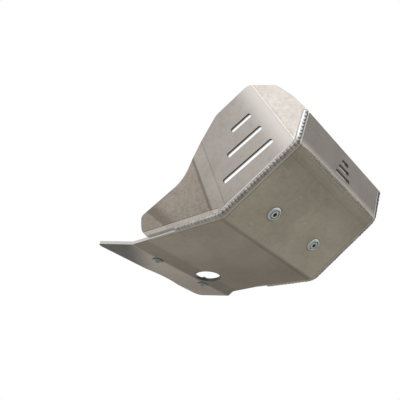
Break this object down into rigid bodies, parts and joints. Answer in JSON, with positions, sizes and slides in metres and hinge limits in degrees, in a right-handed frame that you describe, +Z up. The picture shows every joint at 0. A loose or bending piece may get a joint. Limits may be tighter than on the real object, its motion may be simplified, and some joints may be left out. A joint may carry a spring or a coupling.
{
  "type": "motorcycle skid plate",
  "caption": "Folded aluminium belly guard with welded, creased side wings, vent slots, an oil drain opening and its mounting bolts.",
  "frame": {"origin": "middle of the belly panel's flat outer face, halfway between its two bends", "axes": "-Y to the front of the bike, +X to the bike's left, +Z up into the engine bay"},
  "size_m": [0.3011, 0.3684, 0.1843],
  "materials": {
    "sheet": "brushed, warm grey",
    "weld": "bright weld bead",
    "zinc": "zinc plated"
  },
  "bodies": {
    "root": {"belly_sheet": "sheet", "right_wing": "sheet", "left_wing": "sheet", "right_weld": "weld", "left_weld": "weld", "front_cup_washer_right": "zinc", "front_cup_washer_left": "zinc", "front_bolt_right": "zinc", "front_bolt_left": "zinc", "rear_bolt_right": "zinc", "rear_bolt_left": "zinc"}
  },
  "joints": []
}
